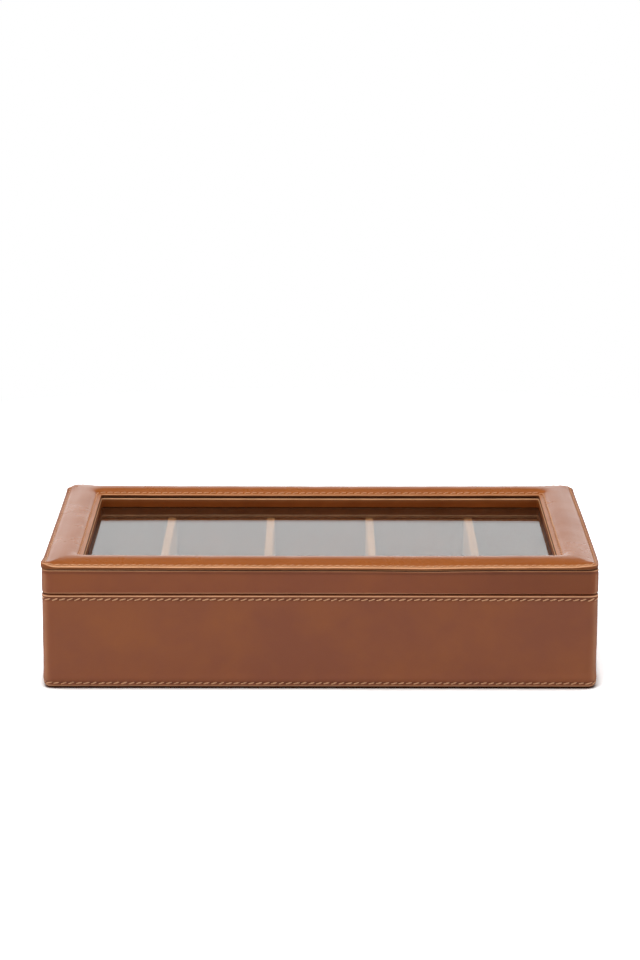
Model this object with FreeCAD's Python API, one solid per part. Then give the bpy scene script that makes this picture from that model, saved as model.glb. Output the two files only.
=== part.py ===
import FreeCAD, Part
import math
import os

# Leather box for glasses: a base with five compartments, and a hinged lid that is a padded leather
# frame round a sunken pane of glass. Millimetres. X runs along the length, -Y is the front, +Z is up.
# The origin is on the ground under the middle of the base. The lid is shut.

# Overall sizes, over the leather
case_length = 350.0
case_depth = 208.0
base_height = 61.5  # from the ground to the rim that the lid rests on
lid_height = 18.0  # from the rim to the flat stitched edge of the lid
crown_rise = 3.7  # how far the padding stands over that edge
corner_radius = 6.0  # the four upright corners
bottom_edge_radius = 2.0
rim_edge_radius = 0.6

# Skins and boards of the base
leather = 1.3
turn_in = 12.0  # width of leather folded under the bottom
filler_gap = 0.3  # between the folded leather and the card that fills up to it
bottom_pad = 0.8
bottom_pad_inset = 3.0
bottom_board = 4.0
wall_board = 5.0
wall_lining = 1.2

# Dividers and floor pads
divider_count = 4
divider_board = 3.0
divider_suede = 1.25
divider_drop = 0.5  # from the rim down to the top of the dividers
divider_edge_radius = 1.1
floor_pad = 2.6  # thickness along the long edges
floor_pad_crown = 0.8
floor_pad_gap = 0.3
floor_pad_edge_radius = 1.6

# Lid
frame_width = 24.5  # from the outside of the lid to the window
window_radius = 2.0
lid_lining = 1.0
lid_lining_inset = 1.5
seam_gap = 0.6  # dark line between the rim and the leather of the lid
band_edge_radius = 0.4
lip_layer = 0.8  # each of the two leather layers of the lip
lip_overhang = 0.25
groove_height = 0.7
groove_depth = 1.5
flange_width = 2.7  # flat stitched edge each side of the padding
glass_thickness = 3.0
glass_recess = 8.4  # from the stitched edge down to the glass
glass_cover = 4.5  # how far the pane goes under the frame
glass_gap = 0.3  # round the edge of the pane

# Hinges
hinge_inset = 65.0  # from the end of the case to the middle of the hinge
hinge_width = 30.0
leaf_thickness = 1.2
leaf_gap = 0.15  # from each shut leaf to the plane of the rim
leaf_land = 0.7  # board left between the leaf and the lining
leaf_play = 0.1  # round the leaf in its mortise
barrel_radius = 2.2
barrel_clearance = 0.3
knuckle_gap = 0.25
pin_radius = 0.8
pin_clearance = 0.03
pin_head_radius = 1.3
pin_head_height = 0.6
open_angle = 100.0
lug_angle = 70.0  # leading face of the stop lug when the lid is shut, up from straight back
lug_sweep = 25.0
lug_height = 1.0
stop_margin = 1.0  # degrees left between the lug and its stop at the open angle
stop_sweep = 30.0
stop_height = 0.9
stop_foot = 1.5  # how far the stop reaches along the knuckle each side of it

# Screws
screws_per_leaf = 3
screw_pitch = 10.0
screw_radius = 0.75
screw_length = 9.0
screw_head_radius = 1.4
screw_head_height = 0.7
screw_slot = 0.4
screw_slot_depth = 0.35
screw_clearance = 0.05

# Levels, worked out from the sizes above
past = 1.0  # how far a cutting tool goes past the face that it opens
tiny = 1e-4
board_low = bottom_pad + leather
floor = board_low + bottom_board
rim = base_height
wall_top = rim - leather
inner_inset = leather + wall_board + wall_lining
inner_length = case_length - 2 * inner_inset
inner_depth = case_depth - 2 * inner_inset
lip_top = rim + lid_height
cover_low = lip_top - lip_layer
lip_low = cover_low - lip_layer
band_top = lip_low - groove_height
band_low = rim + seam_gap
rail_low = rim + lid_lining
glass_top = lip_top - glass_recess
glass_low = glass_top - glass_thickness
rebate_inset = frame_width - glass_cover - glass_gap
axis_y = case_depth / 2 + barrel_clearance + barrel_radius
axis_z = rim
leaf_front = case_depth / 2 - leather - wall_board + leaf_land
screw_y = case_depth / 2 - leather - wall_board / 2
knuckle = (hinge_width - 2 * knuckle_gap) / 3
hinge_places = {"left": hinge_inset - case_length / 2, "right": case_length / 2 - hinge_inset}

# Each side of the case, with the turn about the upright axis that brings the front round to it
side_turns = {"front": 0, "right": 90, "back": 180, "left": 270}


def point(x, y, z):
    return FreeCAD.Vector(x, y, z)


def save(name, shape):
    """Write one piece to parts/NAME.step."""
    solids = shape.Solids
    if not solids or not shape.isValid():
        raise ValueError(name + " is not a sound solid")
    whole = solids[0] if len(solids) == 1 else Part.makeCompound(solids)
    whole.exportStep(os.path.join("parts", name + ".step"))
    print(name, len(solids), round(whole.Volume, 1))


def block(x_range, y_range, z_range):
    """A box from three pairs of limits."""
    low = [min(pair) for pair in (x_range, y_range, z_range)]
    size = [abs(pair[1] - pair[0]) for pair in (x_range, y_range, z_range)]
    return Part.makeBox(*size, point(*low))


def upright_edges(shape):
    """Edges that run straight up."""
    boxes = [(edge, edge.BoundBox) for edge in shape.Edges]
    return [edge for edge, box in boxes if box.XLength < tiny and box.YLength < tiny]


def edges_at(shape, level):
    """Edges that lie flat at one level."""
    boxes = [(edge, edge.BoundBox) for edge in shape.Edges]
    return [edge for edge, box in boxes if abs(box.ZMin - level) < tiny and abs(box.ZMax - level) < tiny]


def rounded_plate(inset, low, high, radius):
    """A plate with rounded corners, set in from the outside of the case on all four sides."""
    half_x = case_length / 2 - inset
    half_y = case_depth / 2 - inset
    plate = block((-half_x, half_x), (-half_y, half_y), (low, high))
    if radius > tiny:
        plate = plate.makeFillet(radius, upright_edges(plate))
    return plate


def case_plate(inset, low, high):
    """A plate whose corners follow the outer corners of the case, square where the inset passes them."""
    return rounded_plate(inset, low, high, corner_radius - inset)


def window_plate(inset, low, high):
    """A plate whose corners follow the corners of the window."""
    return rounded_plate(inset, low, high, window_radius + frame_width - inset)


def eased(shape, level, radius):
    """The shape with its edges at one level rounded, where there is a radius left to round with."""
    if radius > tiny:
        shape = shape.makeFillet(radius, edges_at(shape, level))
    return shape


def run_and_across(side):
    """How long a side is, and how far it is from the side opposite."""
    return (case_length, case_depth) if side in ("front", "back") else (case_depth, case_length)


def turned(shape, side):
    """A shape made at the front, turned round to its side."""
    shape.rotate(point(0, 0, 0), point(0, 0, 1), side_turns[side])
    return shape


def corner_wedge(side):
    """A tall wedge that holds one side of the case, cut at 45 degrees through the corners."""
    run, across = run_and_across(side)
    reach = across / 2 - tiny
    half = run / 2
    corners = [
        point(-half - past, -across / 2 - past, -past),
        point(half + past, -across / 2 - past, -past),
        point(half - reach, -across / 2 + reach, -past),
        point(-half + reach, -across / 2 + reach, -past),
    ]
    if half - reach < 0:
        corners[2:] = [point(0, -across / 2 + half, -past)]
    outline = Part.makePolygon(corners + corners[:1])
    return turned(Part.Face(outline).extrude(point(0, 0, lip_top + crown_rise + 2 * past)), side)


def mitred_ring(section):
    """A frame of one section all round the lid, mitred at the corners.

    The section is a face in the plane x = 0, where y is the inset from the outside.
    """
    sides = []
    for side in side_turns:
        run, across = run_and_across(side)
        start = section.copy()
        start.translate(point(-run / 2 - past, -across / 2, 0))
        length = start.extrude(point(run + 2 * past, 0, 0))
        sides.append(turned(length, side).common(corner_wedge(side)))
    return sides[0].fuse(sides[1:]).removeSplitter()


def crown_arc(skin):
    """The crown's arc, one skin thickness inside the leather's outer face.

    Returns its outer end, top and inner end as points in the plane x = 0.
    """
    chord = frame_width / 2 - flange_width
    radius = (chord**2 + crown_rise**2) / (2 * crown_rise)
    middle = frame_width / 2
    centre_z = lip_top + crown_rise - radius
    level = lip_top - skin
    reach = math.sqrt((radius - skin) ** 2 - (level - centre_z) ** 2)
    top = point(0, middle, centre_z + radius - skin)
    return point(0, middle - reach, level), top, point(0, middle + reach, level)


def sector(x_range, radii, angles):
    """Part of a ring about the hinge axis, with angles in degrees up from straight back."""
    start = math.radians(angles[0])
    corners = []
    for x, radius in ((0, 0), (1, 0), (1, 1), (0, 1)):
        y = axis_y + radii[radius] * math.cos(start)
        z = axis_z + radii[radius] * math.sin(start)
        corners.append(point(x_range[x], y, z))
    face = Part.Face(Part.makePolygon(corners + corners[:1]))
    return face.revolve(point(0, axis_y, axis_z), point(1, 0, 0), angles[1] - angles[0])


def axle(x_range, radius):
    """A round bar on the hinge axis."""
    start = point(min(x_range), axis_y, axis_z)
    return Part.makeCylinder(radius, abs(x_range[1] - x_range[0]), start, point(1, 0, 0))


def at_hinges(shape):
    """Copies of a shape, one moved to each hinge."""
    copies = []
    for x in hinge_places.values():
        moved = shape.copy()
        moved.translate(point(x, 0, 0))
        copies.append(moved)
    return copies


# Heights and facing of the two leaves: each has its shut face, its seat and the way its screws go
leaves = {
    "base": {"face": axis_z - leaf_gap, "seat": axis_z - leaf_gap - leaf_thickness, "down": -1},
    "lid": {"face": axis_z + leaf_gap, "seat": axis_z + leaf_gap + leaf_thickness, "down": 1},
}
screw_places = [(number - (screws_per_leaf - 1) / 2) * screw_pitch for number in range(screws_per_leaf)]
middle_knuckle = (-knuckle / 2, knuckle / 2)
outer_knuckles = [
    (-hinge_width / 2, -hinge_width / 2 + knuckle),
    (hinge_width / 2 - knuckle, hinge_width / 2),
]


def screw(leaf, x, grow):
    """One countersunk screw, or with grow over zero the hole that it goes in."""
    way = point(0, 0, leaf["down"])
    top = point(x, screw_y, leaf["face"])
    shank = Part.makeCylinder(screw_radius + grow, screw_length + grow, top, way)
    head = Part.makeCone(screw_head_radius + grow, screw_radius + grow, screw_head_height, top, way)
    solid = shank.fuse(head)
    if grow == 0:
        span = screw_head_radius + past
        depth = leaf["face"] + leaf["down"] * screw_slot_depth
        slot = block(
            (x - span, x + span),
            (screw_y - screw_slot / 2, screw_y + screw_slot / 2),
            (leaf["face"] - leaf["down"] * past, depth),
        )
        solid = solid.cut(slot)
    return solid.removeSplitter()


def screw_holes(leaf):
    """The screw holes of one leaf."""
    return [screw(leaf, x, screw_clearance) for x in screw_places]


def mortise(leaf):
    """The notch that a leaf lies in, open at the back and at the plane of the rim."""
    half = hinge_width / 2 + leaf_play
    front = leaf_front - leaf_play
    back = case_depth / 2 + past
    opened = axis_z - leaf["down"] * past
    return block((-half, half), (front, back), (leaf["seat"], opened))


def hinge_leaf(leaf, own_knuckles, other_knuckles):
    """A leaf with its knuckles, cut back from the other leaf's knuckles."""
    plate = block((-hinge_width / 2, hinge_width / 2), (leaf_front, axis_y), (leaf["face"], leaf["seat"]))
    room = [
        axle((low - knuckle_gap, high + knuckle_gap), barrel_radius + barrel_clearance)
        for low, high in other_knuckles
    ]
    plate = plate.cut(room).fuse([axle(span, barrel_radius) for span in own_knuckles])
    bore = axle((-hinge_width / 2 - past, hinge_width / 2 + past), pin_radius + pin_clearance)
    return plate, [bore] + screw_holes(leaf)


def base_leaf():
    """The fixed leaf, with the stop that bridges the middle knuckle."""
    solid, holes = hinge_leaf(leaves["base"], outer_knuckles, [middle_knuckle])
    stop_top = lug_angle - open_angle - stop_margin
    reach = knuckle / 2 + knuckle_gap + stop_foot
    room_radius = barrel_radius + barrel_clearance
    radii = (barrel_radius - stop_height / 2, room_radius + stop_height)
    stop = sector((-reach, reach), radii, (stop_top - stop_sweep, stop_top))
    opened = knuckle / 2 + knuckle_gap
    stop = stop.cut(axle((-opened, opened), room_radius))
    return solid.fuse(stop).cut(holes).removeSplitter()


def lid_leaf():
    """The moving leaf, with the lug that meets the stop when the lid is fully open."""
    solid, holes = hinge_leaf(leaves["lid"], [middle_knuckle], outer_knuckles)
    radii = (barrel_radius - lug_height / 2, barrel_radius + lug_height)
    lug = sector(middle_knuckle, radii, (lug_angle, lug_angle + lug_sweep))
    return solid.fuse(lug).cut(holes).removeSplitter()


def hinge_pin():
    """The pin, with a low head over each end knuckle."""
    half = hinge_width / 2
    heads = [axle((half, half + pin_head_height), pin_head_radius)]
    heads.append(axle((-half - pin_head_height, -half), pin_head_radius))
    return axle((-half, half), pin_radius).fuse(heads).removeSplitter()


def base_shell():
    """Bottom pad, filler card, bottom board, walls, leather and rim binding of the base."""
    save("bottom_pad", case_plate(bottom_pad_inset, 0, bottom_pad))
    save("filler_card", case_plate(leather + turn_in + filler_gap, bottom_pad, board_low))

    board = case_plate(leather, board_low, floor)
    save("bottom_board", eased(board, board_low, bottom_edge_radius - leather))

    holes = at_hinges(Part.makeCompound([mortise(leaves["base"])] + screw_holes(leaves["base"])))
    outside = case_plate(leather, floor, wall_top)
    half_x = case_length / 2
    y_outer = case_depth / 2
    y_inner = y_outer - leather - wall_board
    x_inner = half_x - leather - wall_board
    levels = (floor, wall_top)
    save("wall_front", outside.common(block((-half_x, half_x), (-y_outer, -y_inner), levels)))
    save("wall_back", outside.common(block((-half_x, half_x), (y_inner, y_outer), levels)).cut(holes))
    save("wall_left", outside.common(block((-half_x, -x_inner), (-y_inner, y_inner), levels)))
    save("wall_right", outside.common(block((x_inner, half_x), (-y_inner, y_inner), levels)))

    skin = eased(case_plate(0, bottom_pad, rim), bottom_pad, bottom_edge_radius)
    skin = eased(skin, rim, rim_edge_radius)
    hollow = eased(case_plate(leather, board_low, rim + past), board_low, bottom_edge_radius - leather)
    opening = case_plate(leather + turn_in, bottom_pad - past, rim)
    save("base_leather", skin.cut([hollow, opening] + at_hinges(mortise(leaves["base"]))))

    binding = case_plate(leather, wall_top, rim).cut(case_plate(inner_inset, wall_top - past, rim + past))
    save("rim_binding", binding.cut(at_hinges(mortise(leaves["base"]))))


def base_inside():
    """Wall linings, dividers and floor pads."""
    x_board = inner_length / 2 + wall_lining
    x_face = inner_length / 2
    y_board = inner_depth / 2 + wall_lining
    y_face = inner_depth / 2
    levels = (floor, wall_top)
    save("lining_front", block((-x_board, x_board), (-y_board, -y_face), levels))
    save("lining_back", block((-x_board, x_board), (y_face, y_board), levels))
    save("lining_left", block((-x_board, -x_face), (-y_face, y_face), levels))
    save("lining_right", block((x_face, x_board), (-y_face, y_face), levels))

    divider_width = divider_board + 2 * divider_suede
    compartment = (inner_length - divider_count * divider_width) / (divider_count + 1)
    divider_top = rim - divider_drop
    core_top = divider_top - divider_suede
    for number in range(divider_count):
        x = -inner_length / 2 + (number + 1) * (compartment + divider_width) - divider_width / 2
        core_x = (x - divider_board / 2, x + divider_board / 2)
        cover_x = (x - divider_width / 2, x + divider_width / 2)
        cover = block(cover_x, (-y_face, y_face), (floor, divider_top))
        ridges = [edge for edge in edges_at(cover, divider_top) if edge.BoundBox.XLength < tiny]
        cover = cover.makeFillet(divider_edge_radius, ridges)
        cover = cover.cut(block(core_x, (-y_face - past, y_face + past), (floor - past, core_top)))
        save("divider_board_%d" % (number + 1), block(core_x, (-y_face, y_face), (floor, core_top)))
        save("divider_cover_%d" % (number + 1), cover)

    for number in range(divider_count + 1):
        x_low = -inner_length / 2 + number * (compartment + divider_width) + floor_pad_gap
        x_high = x_low + compartment - 2 * floor_pad_gap
        save("floor_pad_%d" % (number + 1), cushion(x_low, x_high, y_face - floor_pad_gap))


def cushion(x_low, x_high, half_y):
    """A thin pad on the floor, crowned across its width, with its upper edges drawn in."""
    shoulder = floor + floor_pad
    crown = point((x_low + x_high) / 2, -half_y, shoulder + floor_pad_crown)
    corners = [
        point(x_low, -half_y, shoulder),
        point(x_low, -half_y, floor),
        point(x_high, -half_y, floor),
        point(x_high, -half_y, shoulder),
    ]
    outline = [Part.LineSegment(corners[i], corners[i + 1]).toShape() for i in range(3)]
    outline.append(Part.Arc(corners[3], crown, corners[0]).toShape())
    pad = Part.Face(Part.Wire(outline)).extrude(point(0, 2 * half_y, 0))
    upper = [edge for edge in pad.Edges if edge.BoundBox.ZMin > shoulder - tiny]
    return pad.makeFillet(floor_pad_edge_radius, upper)


def lid_frame():
    """Rails, glass, beads, leather bands and lining of the lid."""
    notches = at_hinges(mortise(leaves["lid"]))
    holes = at_hinges(Part.makeCompound([mortise(leaves["lid"])] + screw_holes(leaves["lid"])))
    rails = case_plate(leather, rail_low, band_top)
    rails = rails.cut(window_plate(frame_width - leather, rail_low - past, band_top + past))
    rails = rails.cut(case_plate(rebate_inset, rail_low - past, glass_top)).cut(holes)
    beads = case_plate(rebate_inset, rail_low, glass_low)
    beads = beads.cut(window_plate(frame_width, rail_low - past, glass_low + past))
    for side in side_turns:
        wedge = corner_wedge(side)
        save("rail_" + side, rails.common(wedge))
        save("bead_" + side, beads.common(wedge))
    save("glass_pane", case_plate(rebate_inset + glass_gap, glass_low, glass_top))

    band = eased(case_plate(0, band_low, band_top), band_top, band_edge_radius)
    band = eased(band, band_low, band_edge_radius)
    band = band.cut(case_plate(leather, band_low - past, band_top + past))
    save("lid_side_band", band.cut(notches))

    reveal = window_plate(frame_width - leather, glass_top, band_top)
    save("reveal_band", reveal.cut(window_plate(frame_width, glass_top - past, band_top + past)))

    lining = case_plate(lid_lining_inset, rim, rail_low)
    opening = window_plate(frame_width, rim - past, rail_low + past)
    save("lid_lining", lining.cut([opening] + notches))


def lid_padding():
    """Backing ring, lip, foam and padded cover on top of the lid."""
    backing = case_plate(groove_depth, band_top, lip_low)
    hollow = window_plate(frame_width - groove_depth, band_top - past, lip_low + past)
    save("backing_ring", backing.cut(hollow))

    window = window_plate(frame_width, lip_low - past, lip_top + crown_rise + past)
    lip_outside = case_plate(-lip_overhang, lip_low, lip_top + crown_rise)
    save("lid_lip", case_plate(-lip_overhang, lip_low, cover_low).cut(window))

    outer, top, inner = crown_arc(lip_layer)
    underside = Part.LineSegment(inner, outer).toShape()
    foam = mitred_ring(Part.Face(Part.Wire([Part.Arc(outer, top, inner).toShape(), underside])))
    save("pad_foam", foam)

    outer, top, inner = crown_arc(0)
    corners = [
        inner,
        point(0, frame_width + past, lip_top),
        point(0, frame_width + past, cover_low),
        point(0, -past, cover_low),
        point(0, -past, lip_top),
        outer,
    ]
    outline = [Part.LineSegment(corners[i], corners[i + 1]).toShape() for i in range(len(corners) - 1)]
    outline.append(Part.Arc(outer, top, inner).toShape())
    cover = mitred_ring(Part.Face(Part.Wire(outline)))
    save("padded_cover", cover.common(lip_outside).cut([window, foam]))


def hinges():
    """Two stop hinges and their screws."""
    base_leaves = at_hinges(base_leaf())
    lid_leaves = at_hinges(lid_leaf())
    pins = at_hinges(hinge_pin())
    for number, side in enumerate(hinge_places):
        save("hinge_base_leaf_" + side, base_leaves[number])
        save("hinge_lid_leaf_" + side, lid_leaves[number])
        save("hinge_pin_" + side, pins[number])
    for name, leaf in leaves.items():
        screws = at_hinges(Part.makeCompound([screw(leaf, x, 0) for x in screw_places]))
        save("hinge_screws_" + name, Part.makeCompound(screws))


os.makedirs("parts", exist_ok=True)
base_shell()
base_inside()
lid_frame()
lid_padding()
hinges()
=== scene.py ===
import math

import bpy
import numpy as np
from mathutils import Matrix, Vector


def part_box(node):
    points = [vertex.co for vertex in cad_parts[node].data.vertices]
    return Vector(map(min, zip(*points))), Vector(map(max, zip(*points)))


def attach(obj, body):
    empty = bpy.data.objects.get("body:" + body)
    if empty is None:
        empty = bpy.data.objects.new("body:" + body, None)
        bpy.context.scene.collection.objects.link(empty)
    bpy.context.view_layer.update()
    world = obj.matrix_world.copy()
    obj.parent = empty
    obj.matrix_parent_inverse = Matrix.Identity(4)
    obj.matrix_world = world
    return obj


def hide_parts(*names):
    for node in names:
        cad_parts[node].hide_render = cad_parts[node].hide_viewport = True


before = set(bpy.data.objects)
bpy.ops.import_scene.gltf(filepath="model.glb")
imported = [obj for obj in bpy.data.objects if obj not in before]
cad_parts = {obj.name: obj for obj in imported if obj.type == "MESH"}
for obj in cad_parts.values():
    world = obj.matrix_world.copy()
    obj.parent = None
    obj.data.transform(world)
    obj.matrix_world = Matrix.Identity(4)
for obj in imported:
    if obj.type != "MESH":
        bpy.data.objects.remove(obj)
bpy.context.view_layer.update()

scene = bpy.context.scene

# Looks of a tan leather box for glasses, whose lid is a padded frame round a pane of glass.
# Sizes are in millimetres, in the frame's axes, and turn into metres where a mesh is made.
MM = 0.001


def box_mm(node):
    """Lowest and highest corner of a CAD node, in millimetres."""
    low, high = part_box(node)
    return low / MM, high / MM


# Sizes and levels, read from the frame
base_low, base_high = box_mm("base_leather")
board_low, _ = box_mm("bottom_board")
_, card_high = box_mm("filler_card")
binding_low, _ = box_mm("rim_binding")
_, wall_lining_high = box_mm("lining_left")
band_low, band_high = box_mm("lid_side_band")
lining_low, lining_high = box_mm("lid_lining")
reveal_low, reveal_high = box_mm("reveal_band")
backing_low, backing_high = box_mm("backing_ring")
lip_low, lip_high = box_mm("lid_lip")
cover_low, _ = box_mm("padded_cover")
half_x, half_y, rim = base_high
skin = board_low.z - base_low.z
inner_inset = half_x + wall_lining_high.x
window_inset = half_x - reveal_high.x + skin
lining_inset = half_x - lining_high.x
backing_inset = half_x - backing_high.x
overhang = lip_high.x - half_x
layer = lip_high.z - lip_low.z
lip_top = cover_low.z + layer

# Sizes that the frame's boxes don't give
fold_gap = 0.3  # between the turned-in leather and the card inside its fold
corner_radius = 6.0
window_radius = 2.0
least_radius = 0.3
leaf_seat = 1.35  # from the plane of the rim to the bottom of a hinge leaf's mortise
leaf_reach = 5.8  # how far in from the back that mortise goes
leaf_half = 15.1
hinge_x = 110.0

# Stitches
stitch_pitch = 4.75
stitch_length = 4.4
stitch_half_width = 0.42
lid_stitch_half_width = 0.33
stitch_slant = math.radians(17)
rim_row_level = rim - 2.9
foot_row_level = 3.7
outer_row_inset = 2.3
inner_row_inset = 3.0

# How far the folds of leather under it lift the padded cover near each corner, how many times faster that
# fades along the front or back than along the side, how much of it the tip of the corner is spared, and how
# far that tip is drawn in
corner_folds = {
    (-1, -1): (1.8, 3.0, 0.0, -0.5),
    (1, -1): (0.8, 1.5, 0.0, 0.5),
    (1, 1): (0.65, 1.0, 0.8, 0.2),
    (-1, 1): (1.05, 1.0, 1.0, 1.8),
}
tip_distance = 3.7  # from the tip of a corner to where its two sides would meet, along both sides together
end_lift = 0.4  # how much the ends of the lid's leather stand over its middle
lift_level = 66.0  # where the lid's edge layers begin to stand higher towards their ends
lip_dip = 0.5  # how much the lid's edge dips at one place of the front
lip_dip_place = 63.0
side_retreat = 0.3  # how far the lip keeps back from the cover at the left and right
side_bulge = 0.5  # how far the right side of the cover bulges out, ahead of its middle
edge_radius = 0.55  # of the cover's turned edges
cover_thickness = 0.9

# How full the pad is, at distances from its outer edge and from the window
outer_shoulder = ((0.4, 0), (1.3, 0.12), (2.3, 0.2), (3.2, 0.28), (4.2, 0.42), (5.5, 0.57), (7.5, 0.73),
                  (10.5, 0.88), (14.0, 0.97), (17.0, 1.0))
inner_shoulder = ((0.4, 0), (1.0, 0.09), (2.0, 0.16), (3.0, 0.25), (3.7, 0.46), (4.4, 0.7), (5.2, 0.88),
                  (6.2, 0.97), (8.0, 1.0))
pad_height = 3.4
front_fullness = 0.03  # how much more of it there is along the front
pad_swell = 0.45  # how much of that height comes from the cloth simulation

# Outlines and profiles

LONG_STEPS = 440
SHORT_STEPS = 260
ARC_STEPS = 16
CORE = 0.75  # share of a side whose places are the same in every outline


def case_radius(inset):
    """Corner radius of an outline that keeps to the outer corners."""
    return corner_radius - inset


def frame_radius(inset, first=-overhang):
    """Corner radius that goes from the outer corners, at the first inset, to the corners of the window."""
    outer = corner_radius - first
    return outer + (window_radius - outer) * (inset - first) / (window_inset - first)


def side_places(run, straight, steps, notched):
    """Places along a straight side. Every outline has the same ones, but for those near its corners."""
    units = np.linspace(-1, 1, steps, endpoint=False)
    reach = run - corner_radius
    if notched:
        for edge in (-hinge_x - leaf_half, -hinge_x + leaf_half, hinge_x - leaf_half, hinge_x + leaf_half):
            first = np.searchsorted(units, edge / reach) - 1
            units[first:first + 2] = (edge - 0.03) / reach, (edge + 0.03) / reach
    beyond = np.maximum(np.abs(units) - CORE, 0) / (1 - CORE)
    core = np.minimum(np.abs(units), CORE) * reach
    return np.sign(units) * (core + beyond * (straight - CORE * reach))


def outline(inset, radius, coarse=1):
    """Points and outward directions round a rounded rectangle, from the front left corner on.

    The outline is set in from the outside of the case. Outlines with the same coarse have as many points.
    """
    radius = max(radius, least_radius)
    points, ways = [], []
    for turn in range(4):
        angle = math.radians(90 * turn - 90)
        out = np.array((math.cos(angle), math.sin(angle)))
        way = np.array((-out[1], out[0]))
        run, reach, steps = (half_y, half_x, SHORT_STEPS) if turn % 2 else (half_x, half_y, LONG_STEPS)
        straight = run - inset - radius
        places = side_places(run, straight, steps // coarse, turn == 2 and coarse == 1)
        points.append(places[:, None] * way + (reach - inset) * out)
        ways.append(np.tile(out, (len(places), 1)))
        arc = angle + np.linspace(0, math.pi / 2, ARC_STEPS // coarse, endpoint=False)
        around = np.column_stack((np.cos(arc), np.sin(arc)))
        points.append(straight * way + (reach - inset - radius) * out + radius * around)
        ways.append(around)
    return np.concatenate(points), np.concatenate(ways)


_, outward = outline(0, corner_radius)  # the way out at each station of an outline that isn't coarse


def rounded(corners, steps=6, support=0.45):
    """A closed profile with rounded corners, as rows of inset, level and edge mark: worn edges with painted
    highlight.

    Each corner is an inset, a level, a radius and an edge mark from 0 to 1, worn leather with a painted
    highlight, which the middle of its arc takes.
    """
    rows = []
    flat = [np.array(corner[:2]) for corner in corners]
    for number, (_, _, radius, worn_and_painted_light) in enumerate(corners):
        here = flat[number]
        back = flat[number - 1] - here
        ahead = flat[(number + 1) % len(flat)] - here
        long_back, long_ahead = np.linalg.norm(back), np.linalg.norm(ahead)
        back, ahead = back / long_back, ahead / long_ahead
        half = math.acos(np.clip(back @ ahead, -1, 1)) / 2
        cut = radius / math.tan(half)
        if long_back > cut + 3 * support:
            rows.append((*(here + back * (cut + support)), 0.0))
        if radius == 0:
            rows.append((*here, worn_and_painted_light))
        else:
            middle = (back + ahead) / np.linalg.norm(back + ahead)
            centre = here + middle * radius / math.sin(half)
            start, end = here + back * cut - centre, here + ahead * cut - centre
            for share in np.linspace(0, 1, steps + 1):
                way = start * (1 - share) + end * share
                rows.append((*(centre + radius * way / np.linalg.norm(way)), worn_and_painted_light * bell(share, 0.5, 0.35)))
        if long_ahead > cut + 3 * support:
            rows.append((*(here + ahead * (cut + support)), 0.0))
    return np.array(rows)


def divided(profile, longest, rows=()):
    """The profile with points added, none further apart than longest, and close together at stitch rows."""
    points = []
    for here, ahead in zip(profile, np.roll(profile, -1, axis=0)):
        length = np.linalg.norm((ahead - here)[:2])
        place = 0.0
        while place < length:
            point = here + (ahead - here) * place / length
            points.append(point)
            near = min((abs(point[1] - row) for row in rows), default=9 * longest)
            step = min(max(near / 2.5, 0.4), longest)
            place = place + step if length - place > 1.3 * step else length
    return np.array(points)


def smooth(value, low, high):
    """0 below low and 1 above high, with an eased step between."""
    share = np.clip((value - low) / (high - low), 0, 1)
    return share * share * (3 - 2 * share)


def bell(value, centre, width):
    """1 at the centre, falling off over about the width."""
    return np.exp(-((value - centre) / width) ** 2)


def waves(points, length, seed, count=9):
    """A smooth random field from about -1 to 1, whose waves are about length long."""
    dice = np.random.default_rng(seed)
    field = np.zeros(points.shape[:-1])
    for _ in range(count):
        way = dice.normal(size=3)
        way *= 2 * math.pi / length / np.linalg.norm(way) * dice.uniform(0.6, 1.5)
        field += np.sin(points @ way + dice.uniform(0, 2 * math.pi))
    return field / math.sqrt(count)


# How much an upright face is lightened at each station, as worn leather with a painted sheen, from 0 on the
# sides to 1 in the middle of a corner
worn_corner_sheen = bell(np.abs(np.abs(outward[:, 0]) - np.abs(outward[:, 1])), 0, 0.5)

# Meshes


def placed(name, data):
    """A new object in the scene."""
    made = bpy.data.objects.new(name, data)
    scene.collection.objects.link(made)
    return made


def new_piece(name, body, material, vertices, faces, worn_and_painted_light=None, node=None):
    """An object made from points in millimetres. It rides on a body and may stand for a CAD node."""
    mesh = bpy.data.meshes.new(name)
    mesh.from_pydata((np.asarray(vertices) * MM).tolist(), [], [tuple(face) for face in faces])
    if worn_and_painted_light is not None:
        marks = mesh.attributes.new("edge", "FLOAT", "POINT")
        marks.data.foreach_set("value", np.asarray(worn_and_painted_light, dtype=np.float32).ravel())
    mesh.shade_smooth()
    mesh.set_sharp_from_angle(angle=math.radians(50))
    mesh.materials.append(materials[material])
    piece = placed(name, mesh)
    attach(piece, body)
    if node:
        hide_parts(node)
    return piece


def grid_faces(rows, columns, closed=True):
    """Faces of a grid of points that is closed along its columns, and along its rows if asked."""
    row, column = np.meshgrid(np.arange(rows if closed else rows - 1), np.arange(columns), indexing="ij")
    ahead, beside = (row + 1) % rows, (column + 1) % columns
    row, ahead = row * columns, ahead * columns
    return np.stack((row + column, row + beside, ahead + beside, ahead + column), axis=-1).reshape(-1, 4)


def capped_faces(rows, columns):
    """Faces of a tube of points, closed along its columns and at its first and last row."""
    faces = grid_faces(rows, columns, closed=False).tolist()
    return faces + [list(range(columns))[::-1], list(range(columns * (rows - 1), columns * rows))]


def flat_profile(first, last, count):
    """A profile at level 0, with its insets evenly spread."""
    return np.column_stack((np.linspace(first, last, count), np.zeros(count)))


def swept(profile, radius_at=case_radius, coarse=1):
    """Points of a profile carried round the case, as an array of profile row, station and x, y, z."""
    loops = []
    for inset, level in profile[:, :2]:
        flat, _ = outline(inset, radius_at(inset), coarse)
        loops.append(np.insert(flat, 2, level, axis=1))
    return np.array(loops)


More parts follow.
